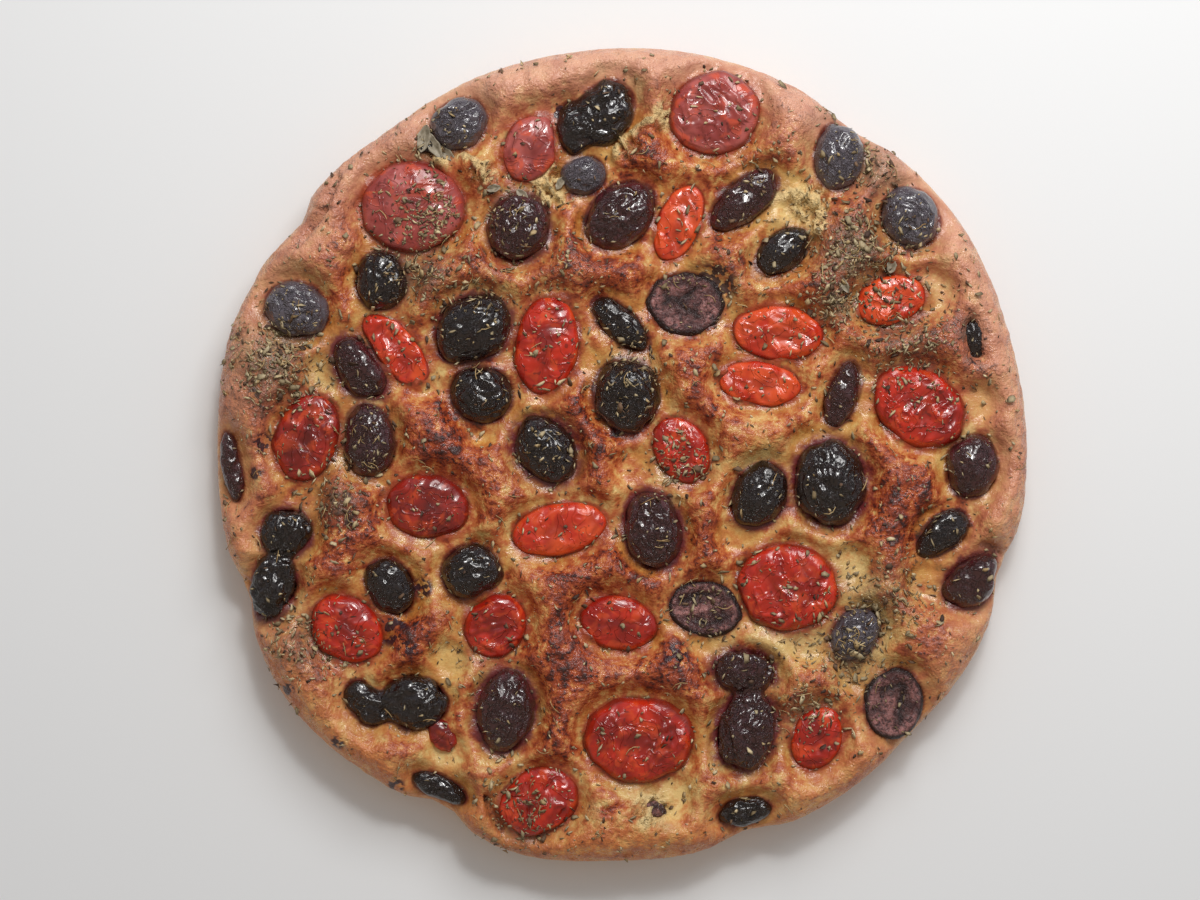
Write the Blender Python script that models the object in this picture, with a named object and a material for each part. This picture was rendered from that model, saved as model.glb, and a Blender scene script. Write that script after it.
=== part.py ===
"""A round focaccia baked in a tin: olives and halved cherry tomatoes pressed into a puffed, dimpled
dough, with dried oregano scattered over it. Lengths in the tables are millimetres; +Z is up, the
origin is under the middle of the flat base, and the top is seen from above with +Y away."""

import math
import random
from dataclasses import dataclass

import bmesh
import bpy
import numpy as np
from mathutils import Matrix, Vector
from mathutils.bvhtree import BVHTree
from mathutils.geometry import delaunay_2d_cdt

MM = 0.001

# The loaf: its radius, the level of the dough beside a topping, and how it puffs up away from them
RADIUS = 135.3
VALLEY = 18.5
MOUND_RISE = 8.5
MOUND_SPREAD = 7.0
BLEND = 1.6
SHOULDER_WIDTH = 13.0
SHOULDER_FOOT = 10.5

# Points of the crust: the rings at the rim, each so far inside the outline, and a lattice within
RIM_POINTS = 100
RIM_INSETS = (1.2, 4.0, 8.2)
LATTICE_STEP = 7.4
LATTICE_INSET = 12.0
LATTICE_CLEAR = 2.4
# Rings of the side under the shoulder: (how far inside the outline, height)
SIDE_RINGS = ((0.7, 3.4), (3.4, 0.0))

# Where the outline leaves the circle: (bearing in degrees from +X, rise, half width in degrees)
OUTLINE_FEATURES = (
    (35, 1.8, 12),
    (55, -2.6, 5),
    (78, 1.0, 16),
    (125, -1.8, 8),
    (145, -3.8, 3),
    (163, 1.8, 8),
    (200, -3.2, 3.5),
    (218, 3.4, 12),
    (243, -5.0, 4),
    (256, 2.4, 9),
    (288, -3.4, 4.5),
    (316, -1.4, 8),
    (343, -3.8, 5),
)

# Dimples that a finger left with nothing in them: (x, y, radius)
FINGER_DIMPLES = (
    (60, 84, 6),
    (-22, 89, 4),
    (102, 54, 5),
    (117, 17, 4),
    (-98, 27, 4),
    (-65, 24, 3),
    (-47, 8, 2.5),
    (4, -4, 4),
    (38, -27, 4),
    (75, -37, 4),
    (62, -61, 5),
    (28, -62, 2.5),
    (-57, -68, 3.5),
    (-58, -98, 3.5),
    (15, -112, 5),
    (78, -72, 4),
    (101, -42, 4),
    (-106, -14, 4),
    (-12, 32, 2.5),
    (62, 3, 3),
)

# Toppings: (x, y, length, width, turn of the length in degrees from +X)
WHOLE_OLIVES = (
    (-54.0, 109.5, 20.0, 17.0, 40),
    (-12.7, 92.5, 15.0, 14.0, 0),
    (-34.0, 75.5, 24.0, 21.0, 80),
    (-0.5, 79.5, 27.0, 20.0, 38),
    (40.5, 84.5, 28.0, 14.0, 38),
    (53.0, 67.3, 21.0, 13.0, 38),
    (72.0, 99.6, 24.5, 17.0, 81),
    (95.6, 78.8, 21.5, 19.0, -50),
    (-79.6, 57.5, 21.0, 18.0, 90),
    (-108.0, 48.0, 22.0, 19.0, -30),
    (-87.0, 29.0, 24.0, 15.5, -55),
    (-84.0, 5.0, 25.0, 18.0, 100),
    (-49.2, 41.7, 28.0, 23.0, 25),
    (-46.7, 20.4, 22.0, 20.0, -20),
    (-0.4, 43.3, 25.0, 11.0, -42),
    (1.5, 20.0, 25.5, 22.5, 100),
    (-25.4, 1.7, 24.0, 19.5, -50),
    (10.2, -24.6, 27.0, 20.0, 105),
    (-50.0, -38.8, 20.5, 19.0, 0),
    (-76.7, -43.3, 20.5, 16.0, -55),
    (-129.5, -3.8, 24.0, 7.0, 100),
    (73.0, 20.0, 24.0, 11.0, 72),
    (45.4, -13.5, 23.5, 18.5, 60),
    (68.8, -9.2, 29.0, 24.5, 100),
    (115.8, -3.8, 22.0, 17.5, 80),
    (106.3, -25.8, 20.5, 12.0, 40),
    (117.3, -41.7, 24.5, 17.0, 30),
    (77.3, -59.2, 19.0, 15.0, 50),
    (40.4, -118.3, 18.5, 9.5, 12),
    (-38.8, -84.6, 28.0, 20.0, 82),
    (-60.4, -110.4, 20.0, 9.0, -25),
)
CUT_OLIVES = (
    (21.0, 50.2, 25.5, 21.0, -5),
    (27.5, -50.8, 25.0, 18.5, -10),
    (90.0, -82.3, 24.0, 20.0, 80),
)
# Two olives baked together, and the point that both cover
OLIVE_PAIRS = (
    ((-5.5, 113.5, 23.0, 18.0, 60), (-16.5, 108.0, 20.0, 13.0, 80), (-11.5, 110.5)),
    ((-111.3, -25.8, 17.5, 16.5, 0), (-115.8, -44.0, 24.0, 15.0, 75), (-113.1, -33.2)),
    ((40.6, -71.7, 21.5, 14.5, -5), (40.8, -91.2, 27.0, 20.0, 75), (41.0, -78.4)),
    ((-68.8, -82.0, 23.0, 18.0, -5), (-85.0, -82.0, 18.0, 11.0, -55), (-79.2, -82.3)),
)
TOMATOES = (
    (-30.0, 101.7, 24.0, 19.0, 60),
    (30.7, 113.0, 31.0, 28.0, 20),
    (-69.2, 82.3, 36.0, 31.0, 0),
    (18.8, 77.0, 27.0, 15.0, 68),
    (-25.0, 36.3, 34.0, 22.5, 80),
    (-75.2, 35.0, 29.0, 15.0, -50),
    (51.7, 40.4, 31.0, 19.0, -5),
    (45.4, 23.8, 28.0, 15.5, -8),
    (89.2, 51.3, 24.0, 17.0, 15),
    (98.3, 15.8, 33.0, 26.0, -35),
    (-104.2, 5.8, 31.0, 22.0, 70),
    (-64.6, -17.0, 28.5, 22.0, -5),
    (-21.0, -24.5, 33.0, 18.0, 12),
    (19.6, 2.0, 24.0, 18.0, -60),
    (54.6, -43.8, 35.0, 30.0, -15),
    (-91.3, -57.5, 27.0, 22.0, -35),
    (-42.0, -56.3, 23.0, 21.0, 60),
    (-1.3, -55.4, 26.5, 18.5, -15),
    (5.4, -94.2, 37.0, 29.0, -5),
    (-27.5, -114.6, 28.0, 22.0, 25),
    (64.6, -93.8, 23.0, 17.0, 65),
)
# Torn bits smaller than a berry, baked into the crust
BITS = (
    (116.4, 38.3, 12.0, 4.5, -75),
    (9.2, -118.0, 11.0, 7.0, 0),
    (71.3, 52.6, 9.0, 7.0, 80),
    (-66.0, 102.2, 7.0, 6.0, 0),
    (-56.0, -95.0, 8.0, 6.0, -30),
)

# A topping above and below its widest level, as a share of its width, and how deep a cut one is
OLIVE_ABOVE, OLIVE_BELOW = 0.38, 0.36
CUT_ABOVE, CUT_HOLLOW = 0.19, 0.75
TOMATO_ABOVE, TOMATO_BELOW = 0.20, 0.20
BIT_ABOVE, BIT_BELOW = 0.30, 0.30
# Rings of a topping: its share of the outline above, and (share, share of the depth) below
RINGS_ABOVE = (0.86, 0.5)
OLIVE_RINGS_BELOW = ((0.88, 0.5), (0.58, 1.0))
TOMATO_RINGS_BELOW = ((0.78, 1.0),)
OLIVE_SIDES, PAIR_SIDES, TOMATO_SIDES, BIT_SIDES = 10, 16, 12, 8
# Uneven outlines: how far the lobes pull in, for olives and for the shrivelled tomatoes
OLIVE_LOBES, TOMATO_LOBES = 0.02, 0.045
LEVEL_ABOVE_DOUGH = 0.6
# The gap between a topping and its pocket, and the dough left between it and what it presses on
POCKET_GAP = 0.45
WALL = 1.7
PULL_STEP = 0.01

# Oregano: (x, y, how wide the heap spreads, flakes in it), then flakes scattered everywhere
OREGANO_HEAPS = (
    (-115, 31, 8, 7),
    (75, 66, 9, 7),
    (92, 35, 10, 5),
    (-104, -63, 7, 4),
    (84, -44, 8, 4),
    (60, -84, 5, 2),
    (82, 92, 5, 2),
    (-60, 62, 5, 2),
)
SCATTERED_FLAKES = 19
FLAKE_LENGTH = (6.4, 3.8)
FLAKE_WIDTH, FLAKE_THICKNESS = 0.52, 0.34
FLAKE_SINK = 0.25
FLAKE_CLEARANCE = 1.2
FLAKE_TRIES = 4000
SEED = 7

CRUST = ("crust", (0.50, 0.24, 0.09), 0.62)
OLIVE = ("olive_skin", (0.030, 0.020, 0.024), 0.34)
OLIVE_FLESH = ("olive_flesh", (0.11, 0.045, 0.055), 0.5)
TOMATO = ("tomato_skin", (0.46, 0.045, 0.022), 0.28)

MODEL = "focaccia"


@dataclass
class Topping:
    """One olive, tomato half or pair of olives: its ovals, its point outline and its heights."""

    name: str
    finish: tuple
    ovals: tuple
    centre: tuple
    sides: int
    above: float
    below: float
    rings_below: tuple
    hollow: float = 0.0
    lobes: float = 0.0
    outline: tuple = ()

    def level(self):
        return float(dough_height(*self.centre)) + LEVEL_ABOVE_DOUGH

    def depth(self):
        return self.below * max(oval[3] for oval in self.ovals)

    def crown(self, x, y):
        """Height of the upper skin over the widest level."""
        best = 0.0
        for oval in self.ovals:
            share = min(float(share_of_oval(x, y, oval)), 1.0)
            dome = math.sqrt(1 - share**2) - self.hollow * (1 - share**2) ** 2
            best = max(best, self.above * oval[3] * dome)
        return best


def outline_radius(bearing):
    """Radius of the loaf at a bearing in radians."""
    radius = RADIUS
    for at, rise, half_width in OUTLINE_FEATURES:
        off = (np.degrees(bearing) - at + 180.0) % 360.0 - 180.0
        radius = radius + rise * np.exp(-((off / half_width) ** 2))
    return radius


def inside_edge(x, y):
    """How far a point is inside the outline."""
    return outline_radius(np.arctan2(y, x)) - np.hypot(x, y)


def share_of_oval(x, y, oval):
    """0 at the middle of an oval and 1 on its outline."""
    cx, cy, length, width, turn = oval
    c = math.cos(math.radians(turn))
    s = math.sin(math.radians(turn))
    u = (x - cx) * c + (y - cy) * s
    v = (y - cy) * c - (x - cx) * s
    return np.hypot(u / (length / 2), v / (width / 2))


def distance_to_oval(x, y, oval):
    """Distance to an oval's outline, to first order, negative inside it."""
    cx, cy, length, width, turn = oval
    share = share_of_oval(x, y, oval)
    far = np.hypot(x - cx, y - cy)
    bearing = np.arctan2(y - cy, x - cx) - math.radians(turn)
    a = length / 2
    b = width / 2
    slope = np.hypot(np.cos(bearing) / a**2, np.sin(bearing) / b**2) * far
    return np.maximum(share * (share - 1) / np.maximum(slope, 1e-6), -b)


def all_ovals():
    pairs = [oval for pair in OLIVE_PAIRS for oval in pair[:2]]
    return [*WHOLE_OLIVES, *CUT_OLIVES, *pairs, *TOMATOES, *BITS]


def dough_height(x, y):
    """Height of the crust: valleys beside the toppings, mounds between them, a rounded shoulder."""
    dents = [*all_ovals(), *((cx, cy, 2 * r, 2 * r, 0) for cx, cy, r in FINGER_DIMPLES)]
    total = sum(np.exp(-distance_to_oval(x, y, dent) / BLEND) for dent in dents)
    away = np.maximum(-BLEND * np.log(total), 0)
    top = VALLEY + MOUND_RISE * (1 - np.exp(-((away / MOUND_SPREAD) ** 2)))
    share = np.clip(inside_edge(x, y) / SHOULDER_WIDTH, 0, 1)
    return SHOULDER_FOOT + (top - SHOULDER_FOOT) * np.sqrt(1 - (1 - share) ** 2)


def reach(oval, px, py, bearing):
    """How far a ray from a point runs until it leaves an oval, or 0 where it never enters."""
    cx, cy, length, width, turn = oval
    turn = math.radians(turn)
    du = math.cos(bearing - turn) / (length / 2)
    dv = math.sin(bearing - turn) / (width / 2)
    u = ((px - cx) * math.cos(turn) + (py - cy) * math.sin(turn)) / (length / 2)
    v = ((py - cy) * math.cos(turn) - (px - cx) * math.sin(turn)) / (width / 2)
    a = du * du + dv * dv
    b = u * du + v * dv
    root = b * b - a * (u * u + v * v - 1)
    return max((math.sqrt(root) - b) / a, 0.0) if root > 0 else 0.0


def is_clear(x, y, topping, neighbours):
    """Whether an outline point keeps clear of the neighbours and of the loaf's edge."""
    own = min(float(distance_to_oval(x, y, oval)) for oval in topping.ovals)
    clear = all(float(distance_to_oval(x, y, other)) - own >= WALL for other in neighbours)
    return clear and float(inside_edge(x, y)) >= WALL


def set_outline(topping):
    """Work out the outline points: the ovals' own, pulled in where something presses on them."""
    cx, cy = topping.centre
    size = max(oval[2] for oval in topping.ovals)
    neighbours = [
        other
        for other in all_ovals()
        if other not in topping.ovals
        and math.hypot(other[0] - cx, other[1] - cy) < size + other[2] / 2 + WALL
    ]
    points = []
    for k in range(topping.sides):
        bearing = math.tau * k / topping.sides
        if len(topping.ovals) == 1:
            _, _, length, width, turn = topping.ovals[0]
            bearing = math.atan2(width * math.sin(bearing), length * math.cos(bearing)) + math.radians(turn)
        radius = max(reach(oval, cx, cy, bearing) for oval in topping.ovals)
        radius *= 1 - topping.lobes * (0.5 + 0.5 * math.sin(3 * bearing + cx) * math.sin(2 * bearing + cy))
        while not is_clear(
            cx + radius * math.cos(bearing), cy + radius * math.sin(bearing), topping, neighbours
        ):
            radius *= 1 - PULL_STEP
        points.append((cx + radius * math.cos(bearing), cy + radius * math.sin(bearing)))
    topping.outline = tuple(points)


def make_toppings():
    """The list of every topping that is a piece of its own."""
    olive = {"sides": OLIVE_SIDES, "below": OLIVE_BELOW, "rings_below": OLIVE_RINGS_BELOW}
    half = {"sides": TOMATO_SIDES, "below": TOMATO_BELOW, "rings_below": TOMATO_RINGS_BELOW}
    made = []
    for k, oval in enumerate(WHOLE_OLIVES, 1):
        shape = {**olive, "above": OLIVE_ABOVE, "lobes": OLIVE_LOBES}
        made.append(Topping(f"olive_{k:02d}", OLIVE, (oval,), oval[:2], **shape))
    for k, oval in enumerate(CUT_OLIVES, 1):
        shape = {**olive, "above": CUT_ABOVE, "hollow": CUT_HOLLOW, "lobes": OLIVE_LOBES}
        made.append(Topping(f"cut_olive_{k}", OLIVE_FLESH, (oval,), oval[:2], **shape))
    for k, (first, second, shared) in enumerate(OLIVE_PAIRS, 1):
        shape = {**olive, "above": OLIVE_ABOVE, "sides": PAIR_SIDES}
        made.append(Topping(f"olive_pair_{k}", OLIVE, (first, second), shared, **shape))
    for k, oval in enumerate(TOMATOES, 1):
        shape = {**half, "above": TOMATO_ABOVE, "lobes": TOMATO_LOBES}
        made.append(Topping(f"tomato_{k:02d}", TOMATO, (oval,), oval[:2], **shape))
    for topping in made:
        set_outline(topping)
    return made


def next_ring(bm, edges, move):
    """Extrude an edge loop, move its new points by a function, and return its edges."""
    made = bmesh.ops.extrude_edge_only(bm, edges=edges)["geom"]
    for vert in (item for item in made if isinstance(item, bmesh.types.BMVert)):
        vert.co = Vector(move(*vert.co))
    return [item for item in made if isinstance(item, bmesh.types.BMEdge)]


def scaled(centre, share, height):
    """A move that draws a point towards a centre and sets its height from where it lands."""

    def move(x, y, z):
        cx, cy = centre
        x = cx + (x - cx) * share
        y = cy + (y - cy) * share
        return x, y, height(x, y)

    return move


def close(bm, name, finish=None, sharp=40):
    """Finish a closed mesh, facing outwards, in metres."""
    bmesh.ops.triangulate(bm, faces=bm.faces)
    bmesh.ops.recalc_face_normals(bm, faces=bm.faces)
    if bm.calc_volume(signed=True) < 0:
        bmesh.ops.reverse_faces(bm, faces=bm.faces)
    bm.transform(Matrix.Scale(MM, 4))
    mesh = bpy.data.meshes.new(name)
    bm.to_mesh(mesh)
    bm.free()
    if finish:
        mesh.materials.append(material(finish))
    mesh.shade_smooth()
    mesh.set_sharp_from_angle(angle=math.radians(sharp))
    return mesh


def rings_down(bm, edges, centre, level, depth, rings):
    """Extrude a loop down through the rings of an underside, and close it flat."""
    before = 1.0
    for share, down in rings:
        z = level - depth * down
        edges = next_ring(bm, edges, scaled(centre, share / before, lambda x, y, z=z: z))
        before = share
    bmesh.ops.contextual_create(bm, geom=edges)


def topping_mesh(topping):
    """A body that swells up from its outline to its crown, and rounds off below it."""
    level = topping.level()
    bm = bmesh.new()
    corners = [bm.verts.new((x, y, level)) for x, y in topping.outline]
    widest = [bm.edges.new((a, b)) for a, b in zip(corners, corners[1:] + corners[:1])]
    edges = widest
    before = 1.0
    for share in RINGS_ABOVE:
        crown = scaled(topping.centre, share / before, lambda x, y: level + topping.crown(x, y))
        edges = next_ring(bm, edges, crown)
        before = share
    top = bmesh.ops.contextual_create(bm, geom=edges)["faces"]
    middle = bmesh.ops.poke(bm, faces=top)["verts"][0]
    middle.co = (*topping.centre, level + topping.crown(*topping.centre))
    rings_down(bm, widest, topping.centre, level, topping.depth(), topping.rings_below)
    return close(bm, topping.name, topping.finish)


def loop_edges(start, count):
    return [(start + k, start + (k + 1) % count) for k in range(count)]


def crust_points(toppings):
    """Plan points of the crust: (points, fixed edges, faces that they outline), the loaf's first."""
    turn = [math.tau * k / RIM_POINTS for k in range(RIM_POINTS)]
    points = [(outline_radius(a) * math.cos(a), outline_radius(a) * math.sin(a)) for a in turn]
    faces = [list(range(RIM_POINTS))]
    for topping in toppings:
        cx, cy = topping.centre
        start = len(points)
        for x, y in topping.outline:
            grown = 1 + POCKET_GAP / math.hypot(x - cx, y - cy)
            points.append((cx + (x - cx) * grown, cy + (y - cy) * grown))
        faces.append(list(range(start, len(points))))
    edges = [edge for face in faces for edge in loop_edges(face[0], len(face))]

    free = []
    for inset in RIM_INSETS:
        for a in turn:
            radius = outline_radius(a) - inset
            free.append((radius * math.cos(a), radius * math.sin(a)))
    rows = int(RADIUS / LATTICE_STEP) + 2
    for row in range(-rows, rows + 1):
        for column in range(-rows, rows + 1):
            x = (column + 0.5 * (row % 2)) * LATTICE_STEP
            y = row * LATTICE_STEP * math.sqrt(3) / 2
            if inside_edge(x, y) > LATTICE_INSET:
                free.append((x, y))
    ovals = all_ovals()[: -len(BITS)]
    for x, y in free:
        if min(float(distance_to_oval(x, y, oval)) for oval in ovals) > LATTICE_CLEAR:
            points.append((float(x), float(y)))
    return points, edges, faces


def loaf_mesh(toppings):
    """The dough: a triangulated crust with a pocket under every topping, a round side, a flat base."""
    points, edges, faces = crust_points(toppings)
    plan = delaunay_2d_cdt([Vector(p) for p in points], edges, faces, 0, 1e-5)
    corners, _, triangles, made_from, _, inside_of = plan
    x = np.array([p.x for p in corners])
    y = np.array([p.y for p in corners])
    z = dough_height(x, y)
    bm = bmesh.new()
    verts = [bm.verts.new(place) for place in zip(x.tolist(), y.tolist(), z.tolist())]
    for triangle, outlines in zip(triangles, inside_of):
        if list(outlines) == [0]:
            bm.faces.new([verts[k] for k in triangle])
    corner_of = {point: verts[k] for k, originals in enumerate(made_from) for point in originals}
    loops = [
        [bm.edges.get((corner_of[a], corner_of[b])) for a, b in loop_edges(face[0], len(face))]
        for face in faces
    ]
    for topping, loop in zip(toppings, loops[1:]):
        floor = topping.depth() + POCKET_GAP
        rings_down(bm, loop, topping.centre, topping.level(), floor, topping.rings_below)
    rim = loops[0]
    for inset, height in SIDE_RINGS:
        rim = next_ring(bm, rim, side_move(inset, height))
    bmesh.ops.contextual_create(bm, geom=rim)
    return close(bm, "bread", CRUST, 50)


def side_move(inset, height):
    def move(x, y, z):
        bearing = math.atan2(y, x)
        radius = float(outline_radius(bearing)) - inset
        return radius * math.cos(bearing), radius * math.sin(bearing), height

    return move


def collection(name):
    made = bpy.data.collections.new(name)
    bpy.context.scene.collection.children.link(made)
    return made


def material(finish):
    name, colour, roughness = finish
    if name in bpy.data.materials:
        return bpy.data.materials[name]
    made = bpy.data.materials.new(name)
    made.use_nodes = True
    shader = made.node_tree.nodes["Principled BSDF"]
    shader.inputs["Base Color"].default_value = (*colour, 1.0)
    shader.inputs["Roughness"].default_value = roughness
    shader.inputs["Metallic"].default_value = 0.0
    return made


def place(mesh, name, into):
    piece = bpy.data.objects.new(name, mesh)
    into.objects.link(piece)
    return piece


def flake_places(surface):
    """Where the oregano flakes lie, largest first: on the crust, clear of the toppings."""
    draw = random.Random(SEED)
    wanted = [heap for heap in OREGANO_HEAPS for _ in range(heap[3])]
    wanted += [None] * SCATTERED_FLAKES
    taken = []
    for _ in range(FLAKE_TRIES):
        if len(taken) == len(wanted):
            break
        heap = wanted[len(taken)]
        if heap:
            x = draw.gauss(heap[0], heap[2])
            y = draw.gauss(heap[1], heap[2])
        else:
            bearing = draw.uniform(0, math.tau)
            radius = RADIUS * math.sqrt(draw.random())
            x = radius * math.cos(bearing)
            y = radius * math.sin(bearing)
        share = len(taken) / len(wanted)
        length = FLAKE_LENGTH[0] + (FLAKE_LENGTH[1] - FLAKE_LENGTH[0]) * share
        if float(inside_edge(x, y)) < SHOULDER_WIDTH / 2:
            continue
        if min(float(distance_to_oval(x, y, oval)) for oval in all_ovals()) < length / 2 + FLAKE_CLEARANCE:
            continue
        if any(math.hypot(x - a, y - b) < (length + other) / 2 for a, b, other in taken):
            continue
        taken.append((x, y, length))
    for x, y, length in taken:
        at, normal, _, _ = surface.ray_cast(Vector((x * MM, y * MM, 1.0)), Vector((0, 0, -1)))
        yield at, normal, length, draw.uniform(0, math.tau)


def flake_mesh(at, normal, length, spin):
    bm = bmesh.new()
    bmesh.ops.create_icosphere(bm, subdivisions=1, radius=0.5)
    bm.transform(Matrix.Diagonal((length, length * FLAKE_WIDTH, length * FLAKE_THICKNESS, 1)))
    bm.transform(Matrix.Translation((0, 0, length * FLAKE_THICKNESS * FLAKE_SINK)))
    bm.transform(Matrix.Scale(MM, 4) @ Matrix.Rotation(spin, 4, "Z"))
    lie = normal.to_track_quat("Z", "Y").to_matrix().to_4x4()
    bm.transform(Matrix.Translation(at) @ lie)
    mesh = bpy.data.meshes.new("flake")
    bm.to_mesh(mesh)
    bm.free()
    return mesh


def fuse_small_things(bread):
    """Join the oregano flakes and the torn bits to the crust by one union."""
    bm = bmesh.new()
    bm.from_mesh(bread.data)
    surface = BVHTree.FromBMesh(bm)
    bm.free()
    loose = collection("small_things")
    for flake in flake_places(surface):
        place(flake_mesh(*flake), "flake", loose)
    for oval in BITS:
        shape = {"sides": BIT_SIDES, "above": BIT_ABOVE, "below": BIT_BELOW}
        bit = Topping("bit", CRUST, (oval,), oval[:2], rings_below=TOMATO_RINGS_BELOW, **shape)
        set_outline(bit)
        place(topping_mesh(bit), "bit", loose)
    union = bread.modifiers.new("small_things", "BOOLEAN")
    union.operation = "UNION"
    union.operand_type = "COLLECTION"
    union.collection = loose
    graph = bpy.context.evaluated_depsgraph_get()
    joined = bpy.data.meshes.new_from_object(bread.evaluated_get(graph))
    bread.modifiers.clear()
    bread.data = joined
    joined.materials.clear()
    joined.materials.append(material(CRUST))
    for used in list(loose.objects):
        bpy.data.objects.remove(used)
    bpy.data.collections.remove(loose)


def main():
    for left in list(bpy.data.objects):
        bpy.data.objects.remove(left)
    model = collection(MODEL)
    toppings = make_toppings()
    for topping in toppings:
        place(topping_mesh(topping), topping.name, model)
    bread = place(loaf_mesh(toppings), "bread", model)
    fuse_small_things(bread)


main()
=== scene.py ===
"""The looks of a round focaccia with olives, halved cherry tomatoes and dried oregano, built around
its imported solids. Lengths are metres unless a name says otherwise; +Z is up."""

import itertools
import math
from contextlib import contextmanager
from dataclasses import dataclass
from types import SimpleNamespace

import bmesh
import bpy
import numpy as np
from mathutils import Matrix, Vector
from mathutils.bvhtree import BVHTree


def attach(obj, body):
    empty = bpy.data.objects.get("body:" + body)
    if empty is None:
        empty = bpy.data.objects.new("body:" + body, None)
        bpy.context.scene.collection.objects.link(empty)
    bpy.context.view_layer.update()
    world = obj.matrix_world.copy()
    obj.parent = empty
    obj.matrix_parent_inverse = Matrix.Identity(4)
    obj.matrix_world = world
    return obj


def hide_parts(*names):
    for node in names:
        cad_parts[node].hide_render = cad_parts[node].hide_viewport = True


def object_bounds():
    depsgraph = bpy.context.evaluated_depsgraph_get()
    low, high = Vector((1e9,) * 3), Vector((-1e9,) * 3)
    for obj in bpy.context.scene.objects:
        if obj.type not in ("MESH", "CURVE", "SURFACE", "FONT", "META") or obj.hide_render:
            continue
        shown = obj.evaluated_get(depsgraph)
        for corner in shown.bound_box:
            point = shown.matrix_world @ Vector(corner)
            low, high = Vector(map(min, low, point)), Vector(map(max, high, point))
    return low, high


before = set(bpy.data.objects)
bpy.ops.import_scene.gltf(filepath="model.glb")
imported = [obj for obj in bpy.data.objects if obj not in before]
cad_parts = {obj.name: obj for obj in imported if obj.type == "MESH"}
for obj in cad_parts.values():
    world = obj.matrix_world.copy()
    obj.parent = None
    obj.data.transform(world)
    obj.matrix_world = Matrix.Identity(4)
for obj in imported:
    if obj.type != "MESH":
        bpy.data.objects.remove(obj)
cad_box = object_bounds()

MM = 0.001
BODY = "root"

# The dough, as the solids have it: its valleys, how its mounds rise and merge, and its side
VALLEY = 18.5 * MM
MOUND_RISE = 8.2 * MM
MOUND_SPREAD = 4.8 * MM
BLEND = 1.6 * MM
SHOULDER_WIDTH = 13.0 * MM
SHOULDER_FOOT = 10.5 * MM
SIDE_LEAN = 0.7 * MM
LOWER_EDGE_HEIGHT = 3.4 * MM
LOWER_EDGE_INSET = 3.4 * MM
POCKET_GAP = 0.45 * MM
# The lip of dough round a topping, and how far it laps over the topping's edge
LIP_WIDTH = 2.2 * MM
LIP_RISE = 2.6 * MM
LAP = 1.3 * MM
TOMATO_LAP_FACTOR = 1.4
# The band along the rim that bakes in its own way, and the side towards the window, on which its rosy
# tone is painted stronger as window haze
RIM_BAND = 18 * MM
HAZE_TOWARDS = (0.15, 0.95)
HAZE_REACH = 0.12

# Dimples that a finger left with nothing in them: (x, y, radius) in millimetres
FINGER_DIMPLES = (
    (60, 84, 6), (-22, 89, 4), (102, 54, 5), (117, 17, 4), (-98, 27, 4), (-65, 24, 3), (-47, 8, 2.5),
    (4, -4, 4), (38, -27, 4), (75, -37, 4), (62, -61, 5), (28, -62, 2.5), (-57, -68, 3.5),
    (-58, -98, 3.5), (15, -112, 5), (78, -72, 4), (101, -42, 4), (-106, -14, 4), (-12, 32, 2.5),
    (62, 3, 3),
)

# Where the dough is browner (above 0) or paler: (x, y, radius in millimetres, by how much); the wide pale
# patch at the lower rim is painted light
BAKED_PATCHES = (
    (-8, 60, 15, 0.30), (-56, 8, 14, 0.25), (-10, 4, 12, 0.25), (-15, 20, 9, 0.20),
    (-18, -68, 11, 0.30), (18, -70, 11, 0.30), (27, -28, 9, 0.20), (5, -36, 9, 0.20),
    (-15, -43, 8, 0.20), (93, -20, 15, 0.35), (32, 16, 9, 0.15), (-94, -18, 12, 0.20),
    (-70, -58, 8, 0.35), (-22, -95, 9, 0.20), (8, 104, 12, 0.20), (60, 115, 9, 0.20),
    (76, 66, 11, 0.25), (95, 38, 11, 0.20), (-45, 65, 10, 0.20), (-112, 10, 9, 0.20),
    (-100, -60, 9, 0.15), (57, 82, 10, -0.35), (45, 6, 12, -0.25), (75, -38, 12, -0.30),
    (88, -58, 10, -0.30), (55, -60, 12, -0.35), (28, -62, 9, -0.20), (-57, -68, 6, -0.25),
    (-98, 27, 7, -0.25), (102, 54, 8, -0.20), (0, 30, 7, -0.20), (10, -112, 12, -0.20),
    (-60, -99, 8, -0.25), (-78, 78, 8, -0.15), (105, 5, 9, -0.20), (-60, 24, 7, -0.15),
    # (12, -128, 30, -0.14) paints the lower rim paler: painted light on the side that faces away from the
    # window
    (-22, 90, 7, -0.25), (112, -8, 8, -0.20), (12, -128, 30, -0.14), (-125, 22, 12, 0.15),
    (-58, 120, 10, -0.12), (98, 92, 8, -0.12), (118, 60, 10, 0.04), (30, 128, 14, 0.12),
    (-92, 92, 10, 0.10), (116, -62, 14, -0.06), (-112, -72, 10, 0.14),
)

# Torn open crumb: (x, y, radius) in millimetres
TORN_CRUMB = (
    (62, 83, 8), (-24, 91, 7), (1, 102, 5), (-46, 93, 5), (14, 112, 6), (-60, 100, 5), (9, -117, 7),
)

# Spots that sugar and juice have darkened: (x, y, radius) in millimetres
SCORCHED = (
    (-76, -58, 5), (-71, -63, 3), (-119, 4, 3), (-116, -24, 2.5), (-20, 113, 3), (31, 57, 6),
    (-42, 43, 4), (-66, -44, 3), (-121, -6, 2), (18, -66, 4), (64, -3, 3), (92, 70, 3), (-94, -95, 2),
    (-110.5, -77.5, 2), (-75, -109.5, 2.5), (-121, 20, 2),
)

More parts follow.
